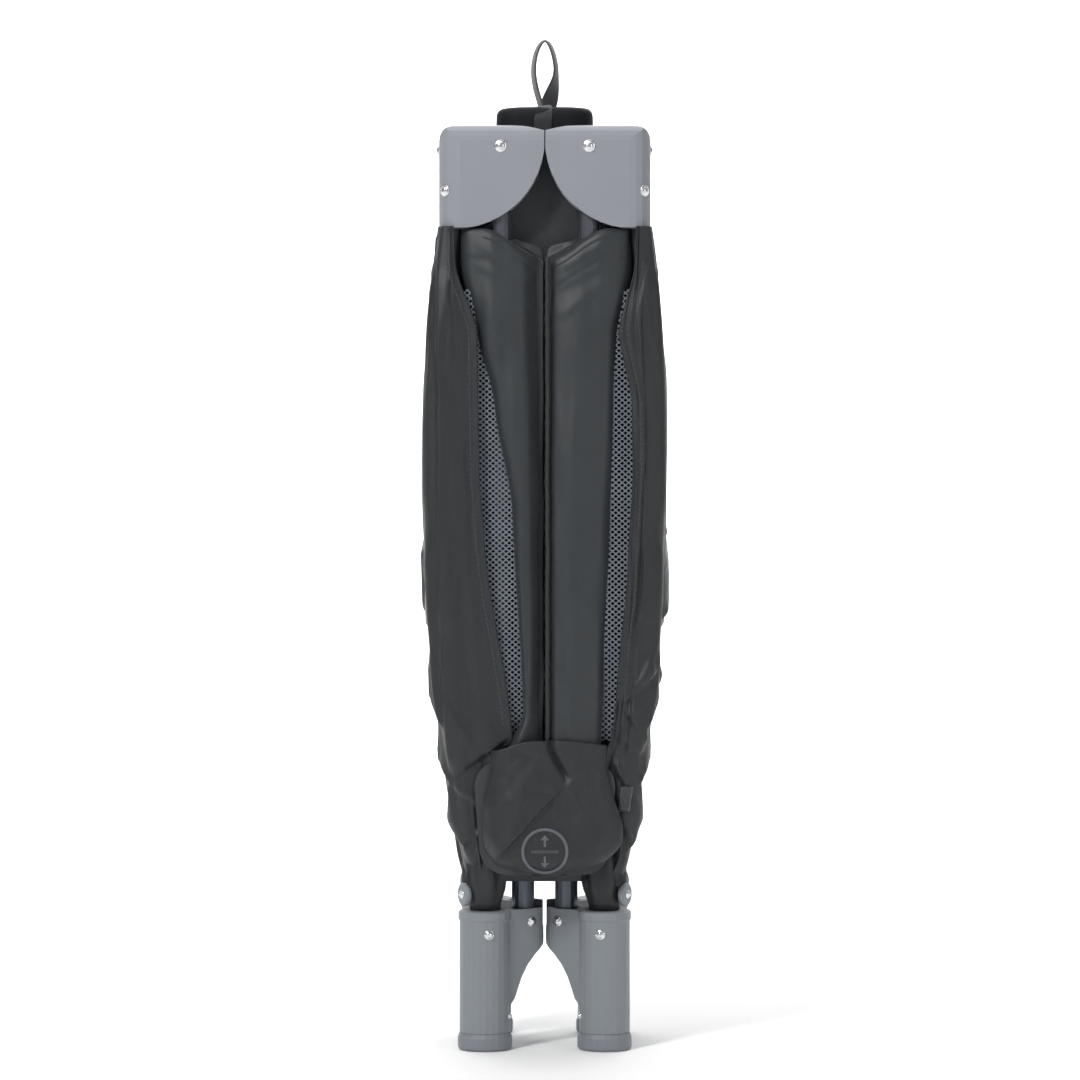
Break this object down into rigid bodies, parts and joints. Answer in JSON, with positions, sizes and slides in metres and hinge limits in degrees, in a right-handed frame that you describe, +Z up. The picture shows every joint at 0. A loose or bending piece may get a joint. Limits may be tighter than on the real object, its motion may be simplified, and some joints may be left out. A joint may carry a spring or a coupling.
{
  "type": "folding playpen",
  "caption": "Rectangular folding playpen standing folded: corner posts with feet, jointed top rails in padded sleeves, fabric and mesh walls, pull-up floor hub with a webbing loop.",
  "frame": {"origin": "centre of the folded bundle's footprint, on the floor", "axes": "+Z up along the folded posts, +X to the right and -Y to the front, towards whoever reads the lock mark"},
  "size_m": [0.188, 0.188, 0.8587],
  "materials": {
    "shell": "satin moulded grey",
    "foot": "satin moulded grey",
    "pad": "satin moulded grey",
    "tube": "powder coat, slate grey",
    "rail": "powder coat, grey",
    "hub": "black, matt",
    "button": "matt",
    "fabric": "satin polyester weave, charcoal",
    "lining": "matt polyester and mesh, charcoal",
    "webbing": "woven webbing, grey"
  },
  "bodies": {
    "corner_front_left": {"post_front_left": "tube", "post_sleeve_front_left": "fabric", "corner_bracket_front_left": "shell", "foot_front_left": "foot", "foot_pad_front_left": "pad"},
    "tube_front_left": {"floor_tube_front_left": "tube"},
    "corner_front_right": {"post_front_right": "tube", "post_sleeve_front_right": "fabric", "corner_bracket_front_right": "shell", "foot_front_right": "foot", "foot_pad_front_right": "pad"},
    "tube_front_right": {"floor_tube_front_right": "tube"},
    "corner_back_left": {"post_back_left": "tube", "post_sleeve_back_left": "fabric", "corner_bracket_back_left": "shell", "foot_back_left": "foot", "foot_pad_back_left": "pad"},
    "tube_back_left": {"floor_tube_back_left": "tube"},
    "corner_back_right": {"post_back_right": "tube", "post_sleeve_back_right": "fabric", "corner_bracket_back_right": "shell", "foot_back_right": "foot", "foot_pad_back_right": "pad"},
    "tube_back_right": {"floor_tube_back_right": "tube"},
    "floor_hub": {"hub": "hub", "hub_leg": "hub", "pull_strap": "webbing"},
    "half_rail_front_left": {"rail_front_left": "rail", "rail_sleeve_front_left": "fabric"},
    "half_rail_front_right": {"rail_front_right": "rail", "rail_sleeve_front_right": "fabric"},
    "latch_body_front": {"latch_front": "shell"},
    "button_body_front": {"latch_button_front": "button"},
    "half_rail_back_left": {"rail_back_left": "rail", "rail_sleeve_back_left": "fabric"},
    "half_rail_back_right": {"rail_back_right": "rail", "rail_sleeve_back_right": "fabric"},
    "latch_body_back": {"latch_back": "shell"},
    "button_body_back": {"latch_button_back": "button"},
    "half_rail_left_front": {"rail_left_front": "rail", "rail_sleeve_left_front": "fabric"},
    "half_rail_left_back": {"rail_left_back": "rail", "rail_sleeve_left_back": "fabric"},
    "latch_body_left": {"latch_left": "shell"},
    "button_body_left": {"latch_button_left": "button"},
    "half_rail_right_front": {"rail_right_front": "rail", "rail_sleeve_right_front": "fabric"},
    "half_rail_right_back": {"rail_right_back": "rail", "rail_sleeve_right_back": "fabric"},
    "latch_body_right": {"latch_right": "shell"},
    "button_body_right": {"latch_button_right": "button"},
    "wall_end_front": {"wall_front": "lining"},
    "floor_end_front": {"floor_sheet_front": "lining"},
    "wall_end_back": {"wall_back": "lining"},
    "floor_end_back": {"floor_sheet_back": "lining"},
    "wall_end_left": {"wall_left": "lining"},
    "floor_end_left": {"floor_sheet_left": "lining"},
    "wall_end_right": {"wall_right": "lining"},
    "floor_end_right": {"floor_sheet_right": "lining"}
  },
  "joints": [
    {"name": "fold", "type": "hinge", "parent": "corner_front_left", "child": "tube_front_left", "pos_m": [-0.01846, -0.03068, 0.106], "axis": [-0.5357, 0.8444, 0], "range_deg": [0, 90]},
    {"name": "hub_turn", "type": "hinge", "parent": "tube_front_left", "child": "floor_hub", "pos_m": [-0.01846, -0.03068, 0.74074], "axis": [-0.5357, 0.8444, 0], "range_deg": [-90, 0]},
    {"name": "tube_turn_front_right", "type": "hinge", "parent": "floor_hub", "child": "tube_front_right", "pos_m": [0.01846, -0.03068, 0.74074], "axis": [-0.5357, -0.8444, 0], "range_deg": [0, 90]},
    {"name": "corner_turn_front_right", "type": "hinge", "parent": "tube_front_right", "child": "corner_front_right", "pos_m": [0.01846, -0.03068, 0.106], "axis": [-0.5357, -0.8444, 0], "range_deg": [-90, 0]},
    {"name": "tube_turn_back_left", "type": "hinge", "parent": "floor_hub", "child": "tube_back_left", "pos_m": [-0.01846, 0.03068, 0.74074], "axis": [0.5357, 0.8444, 0], "range_deg": [0, 90]},
    {"name": "corner_turn_back_left", "type": "hinge", "parent": "tube_back_left", "child": "corner_back_left", "pos_m": [-0.01846, 0.03068, 0.106], "axis": [0.5357, 0.8444, 0], "range_deg": [-90, 0]},
    {"name": "tube_turn_back_right", "type": "hinge", "parent": "floor_hub", "child": "tube_back_right", "pos_m": [0.01846, 0.03068, 0.74074], "axis": [0.5357, -0.8444, 0], "range_deg": [0, 90]},
    {"name": "corner_turn_back_right", "type": "hinge", "parent": "tube_back_right", "child": "corner_back_right", "pos_m": [0.01846, 0.03068, 0.106], "axis": [0.5357, -0.8444, 0], "range_deg": [-90, 0]},
    {"name": "rail_turn_front_left", "type": "hinge", "parent": "corner_front_left", "child": "half_rail_front_left", "pos_m": [-0.037, -0.076, 0.76], "axis": [0, -1, 0], "range_deg": [0, 90]},
    {"name": "latch_turn_front", "type": "hinge", "parent": "half_rail_front_left", "child": "latch_body_front", "pos_m": [-0.037, -0.076, 0.224], "axis": [0, -1, 0], "range_deg": [-90, 0]},
    {"name": "latch_press_front", "type": "slide", "parent": "latch_body_front", "child": "button_body_front", "axis": [0, 1, 0], "range_m": [0, 0.004], "stiffness_N_per_m": 600},
    {"name": "rail_turn_front_right", "type": "hinge", "parent": "corner_front_right", "child": "half_rail_front_right", "pos_m": [0.037, -0.076, 0.76], "axis": [0, 1, 0], "range_deg": [0, 90]},
    {"name": "rail_turn_back_left", "type": "hinge", "parent": "corner_back_left", "child": "half_rail_back_left", "pos_m": [-0.037, 0.076, 0.76], "axis": [0, -1, 0], "range_deg": [0, 90]},
    {"name": "latch_turn_back", "type": "hinge", "parent": "half_rail_back_left", "child": "latch_body_back", "pos_m": [-0.037, 0.076, 0.224], "axis": [0, -1, 0], "range_deg": [-90, 0]},
    {"name": "latch_press_back", "type": "slide", "parent": "latch_body_back", "child": "button_body_back", "axis": [0, -1, 0], "range_m": [0, 0.004], "stiffness_N_per_m": 600},
    {"name": "rail_turn_back_right", "type": "hinge", "parent": "corner_back_right", "child": "half_rail_back_right", "pos_m": [0.037, 0.076, 0.76], "axis": [0, 1, 0], "range_deg": [0, 90]},
    {"name": "rail_turn_left_front", "type": "hinge", "parent": "corner_front_left", "child": "half_rail_left_front", "pos_m": [-0.076, -0.037, 0.76], "axis": [1, 0, 0], "range_deg": [0, 90]},
    {"name": "latch_turn_left", "type": "hinge", "parent": "half_rail_left_front", "child": "latch_body_left", "pos_m": [-0.076, -0.037, 0.42], "axis": [1, 0, 0], "range_deg": [-90, 0]},
    {"name": "latch_press_left", "type": "slide", "parent": "latch_body_left", "child": "button_body_left", "axis": [1, 0, 0], "range_m": [0, 0.004], "stiffness_N_per_m": 600},
    {"name": "rail_turn_left_back", "type": "hinge", "parent": "corner_back_left", "child": "half_rail_left_back", "pos_m": [-0.076, 0.037, 0.76], "axis": [-1, 0, 0], "range_deg": [0, 90]},
    {"name": "rail_turn_right_front", "type": "hinge", "parent": "corner_front_right", "child": "half_rail_right_front", "pos_m": [0.076, -0.037, 0.76], "axis": [1, 0, 0], "range_deg": [0, 90]},
    {"name": "latch_turn_right", "type": "hinge", "parent": "half_rail_right_front", "child": "latch_body_right", "pos_m": [0.076, -0.037, 0.42], "axis": [1, 0, 0], "range_deg": [-90, 0]},
    {"name": "latch_press_right", "type": "slide", "parent": "latch_body_right", "child": "button_body_right", "axis": [-1, 0, 0], "range_m": [0, 0.004], "stiffness_N_per_m": 600},
    {"name": "rail_turn_right_back", "type": "hinge", "parent": "corner_back_right", "child": "half_rail_right_back", "pos_m": [0.076, 0.037, 0.76], "axis": [-1, 0, 0], "range_deg": [0, 90]},
    {"name": "wall_spread_front", "type": "slide", "parent": "corner_front_left", "child": "wall_end_front", "axis": [1, 0, 0], "range_m": [0, 1.0725], "deforming": ["wall_front"]},
    {"name": "wall_spread_back", "type": "slide", "parent": "corner_back_left", "child": "wall_end_back", "axis": [1, 0, 0], "range_m": [0, 1.0725], "deforming": ["wall_back"]},
    {"name": "wall_spread_left", "type": "slide", "parent": "corner_front_left", "child": "wall_end_left", "axis": [0, 1, 0], "range_m": [0, 0.6805], "deforming": ["wall_left"]},
    {"name": "wall_spread_right", "type": "slide", "parent": "corner_front_right", "child": "wall_end_right", "axis": [0, 1, 0], "range_m": [0, 0.6805], "deforming": ["wall_right"]},
    {"name": "floor_spread_front", "type": "hinge", "parent": "tube_front_left", "child": "floor_end_front", "pos_m": [0.00858, -0.01353, 0.7626], "axis": [-0.8444, -0.5357, 0], "range_deg": [0, 115.27], "deforming": ["floor_sheet_front"]},
    {"name": "floor_spread_back", "type": "hinge", "parent": "tube_back_left", "child": "floor_end_back", "pos_m": [0.00858, 0.01353, 0.7626], "axis": [0.8444, -0.5357, 0], "range_deg": [0, 115.27], "deforming": ["floor_sheet_back"]},
    {"name": "floor_spread_left", "type": "hinge", "parent": "tube_front_left", "child": "floor_end_left", "pos_m": [0.00858, -0.01353, 0.79801], "axis": [0.8444, 0.5357, 0], "range_deg": [0, 64.83], "deforming": ["floor_sheet_left"]},
    {"name": "floor_spread_right", "type": "hinge", "parent": "tube_front_right", "child": "floor_end_right", "pos_m": [-0.00858, -0.01353, 0.79801], "axis": [0.8444, -0.5357, 0], "range_deg": [0, 64.83], "deforming": ["floor_sheet_right"]}
  ],
  "couplings": [
    {"joint": "hub_turn", "follows": "fold", "ratio": -1},
    {"joint": "tube_turn_front_right", "follows": "fold", "ratio": 1},
    {"joint": "corner_turn_front_right", "follows": "fold", "ratio": -1},
    {"joint": "tube_turn_back_left", "follows": "fold", "ratio": 1},
    {"joint": "corner_turn_back_left", "follows": "fold", "ratio": -1},
    {"joint": "tube_turn_back_right", "follows": "fold", "ratio": 1},
    {"joint": "corner_turn_back_right", "follows": "fold", "ratio": -1},
    {"joint": "rail_turn_front_left", "follows": "fold", "ratio": 1},
    {"joint": "latch_turn_front", "follows": "fold", "ratio": -1},
    {"joint": "rail_turn_front_right", "follows": "fold", "ratio": 1},
    {"joint": "rail_turn_back_left", "follows": "fold", "ratio": 1},
    {"joint": "latch_turn_back", "follows": "fold", "ratio": -1},
    {"joint": "rail_turn_back_right", "follows": "fold", "ratio": 1},
    {"joint": "rail_turn_left_front", "follows": "fold", "ratio": 1},
    {"joint": "latch_turn_left", "follows": "fold", "ratio": -1},
    {"joint": "rail_turn_left_back", "follows": "fold", "ratio": 1},
    {"joint": "rail_turn_right_front", "follows": "fold", "ratio": 1},
    {"joint": "latch_turn_right", "follows": "fold", "ratio": -1},
    {"joint": "rail_turn_right_back", "follows": "fold", "ratio": 1},
    {"joint": "wall_spread_front", "follows": "fold", "m_per_rad": 0.68246},
    {"joint": "wall_spread_back", "follows": "fold", "m_per_rad": 0.68246},
    {"joint": "wall_spread_left", "follows": "fold", "m_per_rad": 0.4329},
    {"joint": "wall_spread_right", "follows": "fold", "m_per_rad": 0.4329},
    {"joint": "floor_spread_front", "follows": "fold", "ratio": 1.2803},
    {"joint": "floor_spread_back", "follows": "fold", "ratio": 1.2803},
    {"joint": "floor_spread_left", "follows": "fold", "ratio": 0.71974},
    {"joint": "floor_spread_right", "follows": "fold", "ratio": 0.71974}
  ]
}
